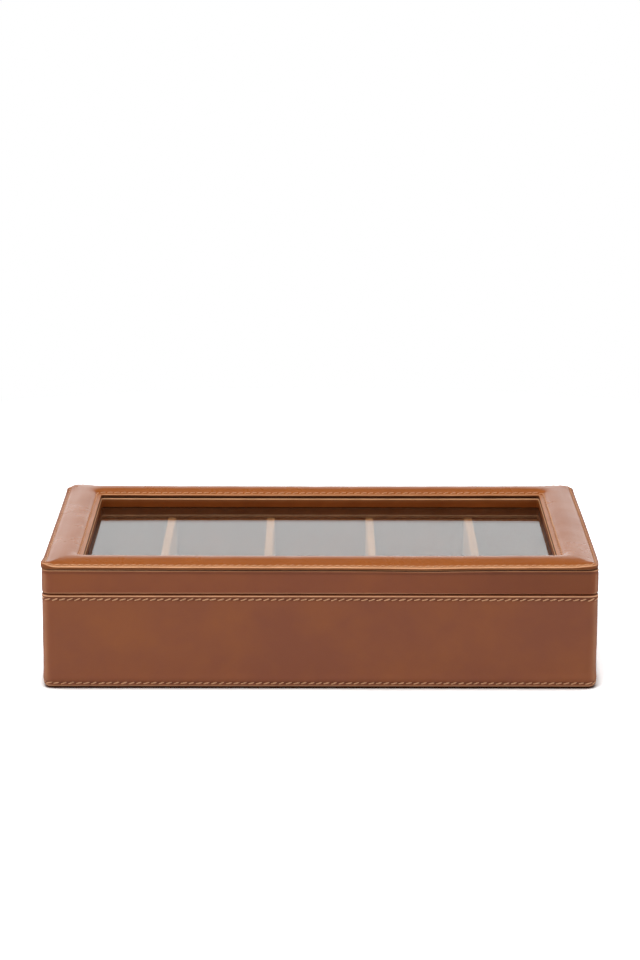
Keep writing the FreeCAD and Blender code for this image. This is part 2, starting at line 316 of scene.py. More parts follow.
def ring_piece(name, body, material, loops, worn_and_painted_light, node):
    """A closed ring from its loops. Its edge marks, worn leather with painted highlight and shade, are one
    value for each loop, or one for each of its points.

    The faces are turned over where they enclose a negative volume.
    """
    vertices, faces = loops.reshape(-1, 3), grid_faces(*loops.shape[:2])
    a, b, c, d = (vertices[faces[:, corner]] for corner in range(4))
    if (np.cross(a, b) * c + np.cross(a, c) * d).sum() < 0:
        faces = faces[:, ::-1]
    marks = worn_and_painted_light if worn_and_painted_light.ndim == 2 else np.repeat(worn_and_painted_light[:, None], loops.shape[1], axis=1)
    return new_piece(name, body, material, vertices, faces, marks, node)


def notch(loops, axis, old, new):
    """Spreads what lies between two old values evenly between two new ones, in the mortises of the hinges.

    The values are levels where the axis is 2, and insets from the back where it is 1.
    """
    x, y = loops[0, :, 0], loops[0, :, 1]
    there = (y > half_y - corner_radius) & (np.abs(np.abs(x) - hinge_x) < leaf_half)
    value = loops[:, there, 2] if axis == 2 else half_y - loops[:, there, 1]
    share = (value - old[0]) / (old[1] - old[0])
    value = np.where((value >= old[0]) & (value <= old[1]), new[0] + share * (new[1] - new[0]), value)
    loops[:, there, axis] = value if axis == 2 else half_y - value


def lift_ends(points, low=lift_level):
    """The lid's leather stands a little higher towards its ends, and its front edge dips at one place.

    It does so the more, the higher it is above a level. The pad over the edge doesn't dip.
    """
    rise = np.clip((points[..., 2] - low) / (lip_top - low), 0, 1.1)
    front = 1 - smooth(points[..., 1], 20 - half_y, 45 - half_y)
    dip = lip_dip * front * bell(points[..., 0], lip_dip_place, 28.0)
    dip *= 1 - smooth(points[..., 2], lip_top + 0.5, lip_top + 2.5)
    points[..., 2] += rise * (end_lift * (points[..., 0] / half_x) ** 2 - dip)
    return points


def corner_distance(points, side_x, side_y):
    """How far points lie from where two sides would meet, along both sides together."""
    return half_x - side_x * points[..., 0] + half_y - side_y * points[..., 1]


def draw_corners(points):
    """Draws the tips of the corners in, each by its own amount, and lets the right side bulge out."""
    along = smooth(points[..., 1], 6 - half_y, 28 - half_y) * (1 - smooth(points[..., 1], 0, half_y))
    points[..., 0] += side_bulge * along * smooth(points[..., 0], half_x - 14, half_x - 4)
    for (side_x, side_y), (*_, pull) in corner_folds.items():
        amount = pull * bell(corner_distance(points, side_x, side_y), tip_distance, 3.5)
        points[..., :2] -= amount[..., None] * math.sqrt(0.5) * np.array((side_x, side_y))
    return points


def soft_box(low, high, radius, step):
    """Vertices and faces of a box with rounded edges, divided into steps."""
    axes = []
    for start, end in zip(low, high):
        inner = np.linspace(start + radius, end - radius, max(2, round((end - start) / step)))
        near = radius * np.array((0.0, 0.35, 0.7))
        axes.append(np.concatenate((start + near, inner, (end - near)[::-1])))
    shell = np.ones([len(axis) for axis in axes], dtype=bool)
    shell[1:-1, 1:-1, 1:-1] = False
    index = np.full(shell.shape, -1)
    index[shell] = np.arange(shell.sum())
    grid = np.stack(np.meshgrid(*axes, indexing="ij"), axis=-1)[shell]
    core = np.clip(grid, np.array(low) + radius, np.array(high) - radius)
    out = grid - core
    length = np.linalg.norm(out, axis=1, keepdims=True)
    vertices = core + radius * out / np.maximum(length, 1e-9)
    faces = []
    for axis in range(3):
        for end in (0, -1):
            sheet = np.take(index, end, axis=axis)
            if (axis == 1) != (end == 0):
                sheet = sheet.T
            here, ahead = sheet[:-1], sheet[1:]
            corners = (here[:, :-1], ahead[:, :-1], ahead[:, 1:], here[:, 1:])
            faces.append(np.stack(corners, axis=-1).reshape(-1, 4))
    return vertices, np.concatenate(faces)


def simulate(vertices, faces, hold, grow, pressure, cap):
    """Cloth simulation of a skin that grows and is blown up. Hold is how firmly each point is pinned.

    It runs at ten times real size, where the solver is steadier. No point ends further than cap, in
    millimetres, from where it started.
    """
    scale = 10 * MM
    mesh = bpy.data.meshes.new("cloth")
    mesh.from_pydata((vertices * scale).tolist(), [], faces.tolist())
    cloth_object = placed("cloth", mesh)
    pins = cloth_object.vertex_groups.new(name="hold")
    for number, weight in enumerate(hold):
        pins.add([number], float(weight), "REPLACE")
    cloth = cloth_object.modifiers.new("cloth", "CLOTH")
    cloth.collision_settings.use_collision = False
    settings = cloth.settings
    settings.quality = 4
    settings.mass = 0.2
    settings.tension_stiffness = 12
    settings.compression_stiffness = 12
    settings.shear_stiffness = 4
    settings.bending_stiffness = 1.0
    settings.vertex_group_mass = "hold"
    settings.pin_stiffness = 1.0
    settings.shrink_min = -grow
    settings.use_pressure = True
    settings.uniform_pressure_force = pressure
    settings.effector_weights.gravity = 0
    for number in range(1, 21):
        scene.frame_set(number)
    evaluated = cloth_object.evaluated_get(bpy.context.evaluated_depsgraph_get())
    moved = np.empty(len(vertices) * 3)
    evaluated.data.vertices.foreach_get("co", moved)
    scene.frame_set(1)
    bpy.data.objects.remove(cloth_object)
    bpy.data.meshes.remove(mesh)
    shift = moved.reshape(-1, 3) / scale - vertices
    length = np.linalg.norm(shift, axis=1, keepdims=True)
    return vertices + shift * np.minimum(1, cap / np.maximum(length, 1e-9))


def refined(grid, axis, closed):
    """A smooth curve through a grid's points along one axis, with each step cut in two."""
    points = np.moveaxis(grid, axis, 0)
    if closed:
        padded = np.concatenate((points[-1:], points, points[:2]))
    else:
        padded = np.concatenate((2 * points[:1] - points[1:2], points, 2 * points[-1:] - points[-2:-1]))
    middle = (9 * (padded[1:-2] + padded[2:-1]) - padded[:-3] - padded[3:]) / 16
    fine = np.stack((padded[1:-2], middle), axis=1).reshape(-1, *points.shape[1:])
    if not closed:
        fine = np.concatenate((fine, points[-1:]))
    return np.moveaxis(fine, 0, axis)


# Materials

pore_size = 0.00055
# Pale colour of worn edges, which is also a painted highlight
rub_and_highlight_colour = (0.95, 0.52, 0.28)


class Tree:
    """Short calls that fill the shader tree of a new material or world."""

    def __init__(self, owner, output="OutputMaterial"):
        owner.use_nodes = True
        self.owner = owner
        self.tree = owner.node_tree
        self.tree.nodes.clear()
        self.output = self.node(output)

    def node(self, kind, **values):
        """A node. Names with a capital are its sockets, underscores for blanks. Others are its settings."""
        made = self.tree.nodes.new("ShaderNode" + kind)
        for key, value in values.items():
            if key[0].isupper():
                self.feed(made.inputs[key.replace("_", " ")], value)
            else:
                setattr(made, key, value)
        return made

    def feed(self, socket, value):
        """Links a socket to the input, or gives it the number or colour."""
        if isinstance(value, bpy.types.NodeSocket):
            self.tree.links.new(value, socket)
        elif socket.type == "RGBA":
            socket.default_value = (*value, 1)
        else:
            socket.default_value = value

    def position(self, stretch=(1, 1, 1), shift=(0, 0, 0)):
        """Object coordinates, which keep their place on a piece when it moves."""
        where = self.node("TexCoord").outputs["Object"]
        return self.node("Mapping", Vector=where, Scale=stretch, Location=shift).outputs["Vector"]

    def noise(self, where, size, detail, rough=0.5):
        """Noise whose features are about size metres wide."""
        made = self.node("TexNoise", Vector=where, Scale=1 / size, Detail=detail, Roughness=rough)
        return made.outputs["Fac"]

    def between(self, value, low, high, start=0, end=1):
        """Maps a value from low..high to start..end."""
        made = self.node("MapRange", Value=value, From_Min=low, From_Max=high, To_Min=start, To_Max=end)
        return made.outputs["Result"]

    def blend(self, share, first, second):
        """Mixes two colours by a share."""
        made = self.node("Mix", data_type="RGBA")
        for number, value in ((0, share), (6, first), (7, second)):
            self.feed(made.inputs[number], value)
        return made.outputs[2]

    def math(self, operation, *values):
        """The result of an operation on its values."""
        made = self.node("Math", operation=operation)
        for socket, value in zip(made.inputs, values):
            self.feed(socket, value)
        return made.outputs[0]

    def bump(self, height, depth, strength=0.5):
        """A bump of a height from 0 to 1, depth metres deep."""
        return self.node("Bump", Height=height, Distance=depth, Strength=strength).outputs["Normal"]

    def choose(self, share, first, second):
        """The first shader where the share is 0, and the second where it is 1."""
        made = self.node("MixShader")
        for socket, value in zip(made.inputs, (share, first.outputs[0], second.outputs[0])):
            self.feed(socket, value)
        return made

    def seen_by(self, *kinds):
        """1 for a ray of one of these kinds, and 0 for any other."""
        path = self.node("LightPath")
        share = path.outputs[kinds[0]]
        for kind in kinds[1:]:
            share = self.math("MAXIMUM", share, path.outputs[kind])
        return share

    def finished(self, shader):
        """The material or world, which shows the shader."""
        self.feed(self.output.inputs["Surface"], shader.outputs[0])
        return self.owner

    def principled(self, **values):
        """The material, which shows a Principled shader with these values."""
        return self.finished(self.node("BsdfPrincipled", **values))


def new_tree(name):
    """The tree of a new material."""
    return Tree(bpy.data.materials.new(name))


def leather_material(name, dark, light, roughness, level, seed, wax=0.0):
    """Smooth tan leather: cloudy colour and fine pores.

    Where a mesh marks it, it is duller; above zero it is lighter, worn leather with a painted highlight, and
    below zero it has painted shade along seams, creases and recesses.
    """
    build = new_tree(name)
    where = build.position(shift=(seed * 0.37, seed * 0.61, seed * 0.13))
    clouds = build.noise(where, 0.06, 3.0, 0.55)
    patches = build.noise(where, 0.012, 3.0, 0.6)
    cells = build.node("TexVoronoi", feature="DISTANCE_TO_EDGE", Vector=where, Scale=1 / pore_size)
    cell = cells.outputs["Distance"]
    tone = build.between(build.math("MULTIPLY_ADD", patches, 0.4, clouds), 0.5, 0.9)
    ground = build.blend(tone, dark, light)
    ground = build.blend(build.between(cell, 0, 0.1, 0.1, 0), ground, tuple(part * 0.5 for part in dark))
    marks = build.node("Attribute", attribute_name="edge").outputs["Fac"]
    # Painted shade: marks below zero blend towards a deeper brown
    crease_and_shade = build.between(marks, 0, -1)
    ground = build.blend(crease_and_shade, ground, (dark[0] * 0.45, dark[1] * 0.38, dark[2] * 0.2))
    # Marks above zero lighten: worn leather together with a painted highlight
    strength = build.between(patches, 0.3, 0.7, 0.7, 1.0)
    rub_and_highlight = build.math("MULTIPLY", build.between(marks, 0, 1), strength)
    matt = build.between(build.math("ABSOLUTE", marks), 0, 0.3)
    dull = build.math("MULTIPLY_ADD", matt, 0.12, roughness)
    grain = build.math("MULTIPLY_ADD", build.noise(where, 0.0016, 3.0), 0.8, build.between(cell, 0, 0.2))
    return build.principled(
        Base_Color=build.blend(rub_and_highlight, ground, rub_and_highlight_colour),
        Roughness=build.math("MULTIPLY_ADD", tone, -0.08, dull),
        Specular_IOR_Level=level,
        Coat_Weight=build.math("MULTIPLY_ADD", matt, -wax, wax) if wax else 0.0,
        Coat_Roughness=0.22,
        Normal=build.bump(grain, 0.00004),
    )


def suede_material(name, dark, light, nap):
    """Short brushed suede: soft patches where the nap lies another way, and a faint sheen."""
    build = new_tree(name)
    strokes = build.noise(build.position((1, 0.35, 1)), 0.014, 4.0, 0.6)
    fibres = build.noise(build.position(), 0.00045, 2.0, 0.7)
    tone = build.between(build.math("MULTIPLY_ADD", fibres, 0.5, strokes), 0.55, 0.95)
    return build.principled(
        Base_Color=build.blend(tone, dark, light),
        Roughness=0.92,
        Specular_IOR_Level=0.2,
        Sheen_Weight=nap,
        Sheen_Roughness=0.5,
        Sheen_Tint=light,
        Normal=build.bump(fibres, 0.00012, 0.7),
    )


def fibre_material(name, dark, light, size, depth=0.0001, roughness=0.8, detail=4.0, rough=0.65, spread=0.15):
    """Fibre board, card, foam or waxed thread: fine fibres, and a colour that is speckled by them."""
    build = new_tree(name)
    fibres = build.noise(build.position(), size, detail, rough)
    colour = build.blend(build.between(fibres, 0.5 - spread, 0.5 + spread), dark, light)
    return build.principled(Base_Color=colour, Roughness=roughness, Normal=build.bump(fibres, depth))


def brass_material(name, dark, light):
    """Brushed brass, with faint scratches along the hinge."""
    build = new_tree(name)
    scratches = build.noise(build.position((0.04, 1, 1)), 0.00025, 3.0, 0.6)
    stains = build.noise(build.position(), 0.004, 3.0, 0.6)
    return build.principled(
        Base_Color=build.blend(build.between(stains, 0.35, 0.7), dark, light),
        Metallic=1,
        Roughness=build.between(build.math("MULTIPLY_ADD", stains, 0.5, scratches), 0.5, 1.0, 0.22, 0.42),
        Normal=build.bump(scratches, 0.00002),
    )


def glass_material(name):
    """Clear float glass, which lets lamp light through to the inside."""
    build = new_tree(name)
    glass = build.node("BsdfPrincipled", Base_Color=(0.97, 0.99, 0.98), Roughness=0, IOR=1.52,
                       Transmission_Weight=1)
    clear = build.node("BsdfTransparent", Color=(0.92, 0.94, 0.93))
    return build.finished(build.choose(build.seen_by("Is Shadow Ray"), glass, clear))


leathers = {
    "base": ((0.285, 0.079, 0.032), (0.345, 0.098, 0.027), 0.42, 0.4, 1),
    "band": ((0.272, 0.07, 0.026), (0.328, 0.086, 0.022), 0.42, 0.4, 2),
    # The reveal's leather is a deeper, more saturated copy of the tan leather: painted shade of its recess
    "reveal": ((0.2, 0.045, 0.006), (0.27, 0.064, 0.009), 0.6, 0.1, 5),
    "cover": ((0.36, 0.099, 0.018), (0.415, 0.121, 0.024), 0.33, 0.31, 3, 0.24),
    "lip": ((0.22, 0.07, 0.018), (0.29, 0.1, 0.028), 0.5, 0.25, 4),
}
materials = {part: leather_material("tan_leather_" + part, *look) for part, look in leathers.items()}
materials.update({
    "divider_suede": suede_material("divider_suede", (0.22, 0.1, 0.038), (0.3, 0.14, 0.054), 0.3),
    "suede": suede_material("tan_suede", (0.17, 0.056, 0.018), (0.24, 0.083, 0.03), 0.2),
    # Near-black suede that stands in for shade: on the beads under the glass and on the pad under the case
    "shade_black_suede": suede_material("shade_black_suede", (0.02, 0.011, 0.007), (0.035, 0.018, 0.01), 0.1),
    "board": fibre_material("fibre_board", (0.33, 0.22, 0.13), (0.42, 0.29, 0.17), 0.0008),
    # Near-black card, whose colour is painted shade where it shows in the groove under the lip
    "card": fibre_material("dark_card", (0.045, 0.015, 0.005), (0.075, 0.027, 0.01), 0.0005),
    "foam": fibre_material("pale_foam", (0.66, 0.63, 0.55), (0.78, 0.76, 0.68), 0.001),
    "brass": brass_material("brushed_brass", (0.55, 0.37, 0.14), (0.72, 0.5, 0.2)),
    "thread": fibre_material("tan_thread", (0.64, 0.31, 0.15), (0.84, 0.47, 0.26), 0.0006, depth=0.00008,
                             roughness=0.5, detail=2.0, rough=0.5, spread=0.2),
    "glass": glass_material("clear_glass"),
})


# Stitches


def hole_pull(inset, radius):
    """How hard the holes of a stitch row pull the leather in, from 0 to 1, at each station of its outline."""
    flat, _ = outline(inset, radius)
    steps = np.linalg.norm(np.roll(flat, -1, axis=0) - flat, axis=1)
    along = np.concatenate(([0], np.cumsum(steps)[:-1])) / steps.sum()
    count = round(steps.sum() / stitch_pitch)
    return (0.5 + 0.5 * np.cos(2 * math.pi * along * count)) ** 2


def stitch_shape(half_width):
    """One stitch as points along, across and out from the leather, and its faces."""
    rings, sides = 7, 8
    points = []
    for share in np.linspace(0, 1, rings):
        arch = math.sin(math.pi * share)
        full = 0.55 + 0.45 * arch ** 0.5
        for side in range(sides):
            angle = 2 * math.pi * side / sides
            ply = 1 + 0.1 * math.cos(2 * angle + 9.0 * share)
            points.append((
                (share - 0.5) * stitch_length,
                half_width * full * ply * math.cos(angle),
                half_width * (1.1 * arch ** 0.7 - 0.7 + 0.75 * full * ply * math.sin(angle)),
            ))
    return np.array(points), [face[::-1] for face in capped_faces(rings, sides)]


def stitch_row(name, body, path, out, seed, half_width):
    """A row of slanted stitches along a closed path of points, with the way out of the leather at each."""
    dice = np.random.default_rng(seed)
    path, out = np.vstack((path, path[:1])), np.vstack((out, out[:1]))
    along = np.concatenate(([0], np.cumsum(np.linalg.norm(np.diff(path, axis=0), axis=1))))
    count = round(along[-1] / stitch_pitch)

    def at(place, line):
        return np.array([np.interp(place, along, line[:, axis]) for axis in range(3)])

    shape, shape_faces = stitch_shape(half_width)
    vertices, faces = [], []
    for number in range(count):
        place = (number + 0.5) / count * along[-1] + dice.normal(0, 0.06)
        way = at(place + 0.5, path) - at(place - 0.5, path)
        way /= np.linalg.norm(way)
        up = at(place, out)
        up -= way * (up @ way)
        up /= np.linalg.norm(up)
        across = np.cross(up, way)
        slant = stitch_slant + dice.normal(0, math.radians(3))
        turned_way = way * math.cos(slant) + across * math.sin(slant)
        turned_across = across * math.cos(slant) - way * math.sin(slant)
        local = shape * (dice.normal(1, 0.04), dice.normal(1, 0.05), 1)
        centre = at(place, path) + across * dice.normal(0, 0.06)
        vertices.append(centre + local @ (turned_way, turned_across, up))
        first = number * len(shape)
        faces += [[first + corner for corner in face] for face in shape_faces]
    return new_piece(name, body, "thread", np.concatenate(vertices), faces)


# Base


def base_leather():
    """The leather round the base: a slightly full face between two stitched edges, turned in below.

    A thin painted highlight runs along its rim, with painted shade above and below it and along both stitch
    rows.
    """
    fold_inset = half_x - card_high.x - fold_gap
    profile = rounded([
        # The foot's edge is lightened as a painted reflection of the floor
        (0, base_low.z, 2.6, 0.5),
        (0, rim, 0.9, 0),
        (skin, rim, 0.15, 0.6),
        (skin, board_low.z, 0, 0),
        (fold_inset, board_low.z, 0.3, 0),
        (fold_inset, base_low.z, 0.3, 0),
    ])
    groove_depth = 0.22
    rows = (rim_row_level, foot_row_level)
    profile = divided(profile, 3, rows)
    outer = profile[:, 0] < skin - 0.4
    level = profile[:, 1]
    groove = sum(bell(level, row, 0.6) for row in rows)
    fullness = 0.12 * bell(level, rim - 1.2, 1.2) + 0.4 * bell(level, 6.5, 2.5)
    profile[:, 0] += outer * (groove_depth * groove - fullness)
    # Painted shade along the grooves of both stitch rows
    profile[:, 2] -= outer * 0.7 * sum(bell(level, row, 0.9) for row in rows)
    # Painted shade on the top of the rim, under the lid, and just above the rim's stitches, with a thin
    # painted highlight between
    darker = 0.5 * smooth(level, rim - 0.4, rim) + 0.6 * bell(level, rim - 1.6, 0.4)
    profile[:, 2] += outer * (1.5 * bell(level, rim - 0.75, 0.27) - darker)
    loops = swept(profile)
    # Upright corners lightened: worn leather with a painted sheen
    worn_and_painted_light = profile[:, 2:] + 0.2 * outer[:, None] * worn_corner_sheen
    notch(loops, 2, (rim - 3, rim), (rim - 3, rim - leaf_seat))
    pull = hole_pull(0, corner_radius)
    ease = outer * smooth(level, 2.0, 8.0) * (1 - smooth(level, rim - 6, rim - 1))
    swell = ease[:, None] * (0.12 * waves(loops, 70, 11) + 0.04 * waves(loops, 14, 12))
    push = swell - groove_depth * (outer * groove)[:, None] * pull
    loops[..., :2] += push[..., None] * outward
    ring_piece("base_leather_wrap", "case", "base", loops, worn_and_painted_light, "base_leather")


def base_stitches():
    """The two rows of stitches round the base, one under the rim and one over the foot."""
    flat, _ = outline(0.1, corner_radius)
    out = np.insert(outward, 2, 0, axis=1)
    for name, level, seed in (("stitches_rim", rim_row_level, 21), ("stitches_foot", foot_row_level, 22)):
        stitch_row(name, "case", np.insert(flat, 2, level, axis=1), out, seed, stitch_half_width)


def rim_binding():
    """The leather folded over the top of the walls."""
    profile = divided(rounded([
        (skin, binding_low.z, 0, 0),
        # Lighter edges: worn leather with a painted highlight
        (skin, rim, 0.35, 0.5),
        (inner_inset, rim, 0.7, 0.7),
        (inner_inset, binding_low.z, 0.2, 0.2),
    ]), 1.6)
    loops = swept(profile)
    notch(loops, 1, (skin, inner_inset), (leaf_reach, inner_inset))
    top = loops[..., 2] > rim - 0.4
    loops[..., 2] -= top * (0.06 + 0.05 * waves(loops, 18, 31))
    ring_piece("rim_binding_wrap", "case", "band", loops, profile[:, 2], "rim_binding")


def bottom_pad():
    """The suede pad that the case stands on. Its near-black suede is painted shade of the gap under the case.
    """
    pad_low, pad_high = box_mm("bottom_pad")
    inset = half_x - pad_high.x
    profile = np.array([
        (3.0, pad_low.z), (0.3, pad_low.z), (0.05, pad_low.z + 0.1), (0, pad_low.z + 0.3),
        (0, pad_high.z - 0.2), (0.2, pad_high.z), (3.0, pad_high.z),
    ])
    loops = swept(profile + (inset, 0), coarse=4)
    new_piece("bottom_pad_suede", "case", "shade_black_suede", loops.reshape(-1, 3), capped_faces(*loops.shape[:2]),
              node="bottom_pad")


def wall_linings():
    """Suede over the insides of the walls."""
    walls = (("front", 1, 1), ("back", 1, -1), ("left", 0, 1), ("right", 0, -1))
    for number, (side, axis, inward) in enumerate(walls):
        node = "lining_" + side
        low, high = box_mm(node)
        vertices, faces = soft_box(low, high, 0.35, 4.0)
        inner_face = (vertices[:, axis] - (low[axis] + high[axis]) / 2) * inward > 0
        vertices[:, axis] += inner_face * 0.12 * inward * waves(vertices, 45, 40 + number)
        new_piece(node + "_suede", "case", "suede", vertices, faces, node=node)


def divider_covers():
    """Suede folded over each divider board, with a soft round top."""
    for number in range(1, 5):
        node = f"divider_cover_{number}"
        low, high = box_mm(node)
        core_low, core_high = box_mm(f"divider_board_{number}")
        middle = (low.x + high.x) / 2
        profile = divided(rounded([
            (low.x, low.z, 0, 0),
            (low.x, high.z, 1.5, 0),
            (high.x, high.z, 1.5, 0),
            (high.x, low.z, 0, 0),
            (core_high.x, low.z, 0, 0),
            (core_high.x, core_high.z, 0.2, 0),
            (core_low.x, core_high.z, 0.2, 0),
            (core_low.x, low.z, 0, 0),
        ], steps=5), 5.0)[:, :2]
        sections = np.linspace(low.y, high.y, 60)
        vertices = np.array([(x, y, z) for y in sections for x, z in profile])
        side = vertices[:, 0] - middle
        outside = np.abs(side) > core_high.x - middle + 0.4
        vertices[:, 0] += outside * np.sign(side) * 0.1 * waves(vertices, 30, 50 + number)
        above = vertices[:, 2] > core_high.z + 0.5
        vertices[:, 2] += above * 0.07 * waves(vertices, 40, 60 + number)
        faces = capped_faces(len(sections), len(profile))
        new_piece(node + "_suede", "case", "divider_suede", vertices, faces, node=node)


def floor_pads():
    """A thin cushion in each compartment, crowned and with drawn-in sides."""
    crown = 0.8
    draw = 0.5
    for number in range(1, 6):
        node = f"floor_pad_{number}"
        low, high = box_mm(node)
        shoulder = high.z - crown
        vertices, faces = soft_box(low, (high.x, high.y, shoulder), 1.2, 3.2)
        middle = (np.array(low) + np.array(high)) / 2
        across, along, _ = ((vertices - middle) / (np.array(high) - middle)).T
        height = np.clip((vertices[:, 2] - low.z) / (shoulder - low.z), 0, 1)
        vertices[:, 2] += crown * height * (1 - np.abs(across) ** 2.5) * (1 - np.abs(along) ** 10)
        vertices[:, 0] -= draw * height * across ** 5 * (1 - along ** 4)
        vertices[:, 1] -= draw * height * along ** 19 * (1 - across ** 2)
        hold = np.where(height > 0.6, 0.3, 1.0)
        vertices = simulate(vertices, faces, hold, grow=0.004, pressure=2.5, cap=0.6)
        vertices = np.clip(vertices, np.array(low), np.array(high) + (0, 0, 0.5))
        piece = new_piece(node + "_suede", "case", "suede", vertices, faces, node=node)


# Lid


def lid_side_band():
    """The leather round the outer sides of the lid."""
    crease = band_high.z - 1.6
    profile = divided(rounded([
        # A painted reflection lightens the bottom edge, and a painted highlight the top edge
        (0, band_low.z, 1.2, 0.4),
        (0, band_high.z, 0.5, 1.0),
        (skin, band_high.z, 0.2, 0),
        (skin, band_low.z, 0.2, 0),
    ]), 2.5, (crease,))
    outer = profile[:, 0] < skin / 2
    # A crease under the top edge, pushed in and painted with shade from the lip above
    crease_and_shade = outer * bell(profile[:, 1], crease, 0.7)
    profile[:, 0] += 0.12 * crease_and_shade
    profile[:, 2] -= 0.5 * crease_and_shade
    loops = swept(profile)
    # The painted highlight on the top edge is weaker in the middle, where the lip shades it
    ends = 0.45 + 0.55 * smooth(np.abs(loops[..., 0]), 20, 130)
    worn_and_painted_light = profile[:, 2:] * np.where(loops[..., 2] > band_high.z - 0.6, ends, 1)
    worn_and_painted_light += 0.2 * outer[:, None] * worn_corner_sheen
    # The front is painted with shade that deepens towards the right, where less light falls, sparing the
    # corners
    front = loops[..., 1] < 6 - half_y
    worn_and_painted_light -= front * 0.35 * smooth(loops[..., 0], 20, half_x) * (1 - worn_corner_sheen)
    seat = rim + leaf_seat + 0.05
    notch(loops, 2, (band_low.z, seat + 1.5), (seat, seat + 1.5))
    loops[outer, :, :2] += 0.1 * waves(loops[outer], 60, 71)[..., None] * outward
    lift_ends(loops)
    ring_piece("lid_band_wrap", "lid", "band", loops, worn_and_painted_light, "lid_side_band")


def reveal_band():
    """The leather round the inside of the window, above the glass."""
    profile = divided(rounded([
        (window_inset - skin, reveal_low.z, 0, 0),
        (window_inset - skin, reveal_high.z, 0.2, 0),
        (window_inset + 0.35, reveal_high.z, 0.5, 0),
        (window_inset, reveal_low.z, 0.2, 0),
    ]), 2.0)
    face = profile[:, 0] > window_inset - 0.5
    # A painted highlight on the top edge of the reveal's face, and painted shade on its hidden faces
    profile[:, 2] = np.where(face, 1.5 * bell(profile[:, 1], reveal_high.z - 0.38, 0.36), -1.0)
    loops = lift_ends(swept(profile, lambda inset: window_radius + window_inset - inset), reveal_low.z)
    ring_piece("window_reveal_wrap", "lid", "reveal", loops, profile[:, 2], "reveal_band")


def backing_ring():
    """The card ring under the lip, whose edge is the bottom of the groove. Its near-black card is painted
    shade in the groove.
    """
    far_inset = window_inset - backing_inset
    profile = rounded([
        (backing_inset, backing_low.z, 0.1, 0),
        (backing_inset, backing_high.z, 0.1, 0),
        (far_inset, backing_high.z, 0.1, 0),
        (far_inset, backing_low.z, 0.1, 0),
    ], steps=2, support=0.3)
    loops = lift_ends(swept(profile, frame_radius), backing_low.z - 1.5)
    ring_piece("backing_card", "lid", "card", loops, profile[:, 2], "backing_ring")


def lid_lip():
    """The lower of the two layers that stand out over the side band."""
    profile = rounded([
        # The lower outer edge has a painted highlight
        (-overhang, lip_low.z, 0.3, 0.3),
        (-overhang, lip_high.z, 0.3, 0),
        (window_inset, lip_high.z, 0.3, 0),
        (window_inset, lip_low.z, 0.3, 0),
    ])
    # Painted shade on the face towards the window
    profile[:, 2] -= 1.0 * (profile[:, 0] > window_inset - 0.5)
    loops = draw_corners(lift_ends(swept(profile, frame_radius)))
    loops[..., 0] *= 1 - side_retreat / half_x
    ring_piece("lid_lip_layer", "lid", "lip", loops, profile[:, 2], "lid_lip")


def edge_distances(points):
    """How far points lie from the outer edge of the lid's frame, and from the window."""
    away = []
    for inset, radius in ((-overhang, corner_radius + overhang), (window_inset, window_radius)):
        over = np.abs(points[..., :2]) - (np.array((half_x, half_y)) - inset - radius)
        outside = np.linalg.norm(np.maximum(over, 0), axis=-1)
        away.append(outside + np.minimum(over.max(axis=-1), 0) - radius)
    return -away[0], away[1]


def shoulder(distance, knots):
    """How full the pad is at a distance from an edge, along a smooth curve near the knots."""
    return sum(np.interp(distance + shift, *np.array(knots).T) for shift in np.linspace(-0.6, 0.6, 7)) / 7


def corner_lift(points):
    """How much the folds under the cover's edge lift it near each corner."""
    lift = np.zeros(points.shape[:-1])
    for (side_x, side_y), (height, fade, tip, _) in corner_folds.items():
        away = corner_distance(points, side_x, side_y)
        spared = tip * (1 - smooth(away, tip_distance, 12))
        away += (fade - 1) * (half_x - side_x * points[..., 0])
        lift += height * (1 - spared) * bell(np.maximum(away, 8), 8, 11)
    return lift


def pillow(points, height=pad_height):
    """Level of the padded cover over a point, and how full the pad is there from 0 to 1.

    The pad is steep at the window and falls off softly towards the outside.
    """
    outer, inner = edge_distances(points)
    full = shoulder(outer, outer_shoulder) * shoulder(inner, inner_shoulder)
    fuller = 1 + front_fullness * (1 - smooth(points[..., 1], 14 - half_y, 34 - half_y))
    return lip_top + height * fuller * full, full


def cover_skin():
    """The top of the padded cover: a skin that a cloth simulation swells, then with each step cut in two."""
    profile = flat_profile(edge_radius - overhang, window_inset - edge_radius, 17)
    sheet = swept(profile, frame_radius, coarse=2)
    sheet[..., 2], full = pillow(sheet, pad_height - pad_swell)
    hold = 1 - 0.85 * smooth(full, 0.4, 0.9)
    faces = grid_faces(*sheet.shape[:2], closed=False)
    moved = simulate(sheet.reshape(-1, 3), faces, hold.ravel(), grow=0, pressure=2.5, cap=0.8)
    return refined(refined(moved.reshape(sheet.shape), 1, True), 0, False)


def turned_edge(row, sign):
    """Loops of the cover from a row on, down round its edge and on to the lip. The sign is 1 for outwards."""
    loops = []
    for turn in np.radians((22, 45, 68, 90)):
        loop = row.copy()
        loop[:, :2] += sign * edge_radius * math.sin(turn) * outward
        loop[:, 2] -= edge_radius * (1 - math.cos(turn))
        loops.append(loop)
    for level, back in ((cover_low.z + 0.2, 0), (cover_low.z, 0.2)):
        loop = loops[3].copy()
        loop[:, :2] -= sign * back * outward
        loop[:, 2] = level
        loops.append(loop)
    return loops


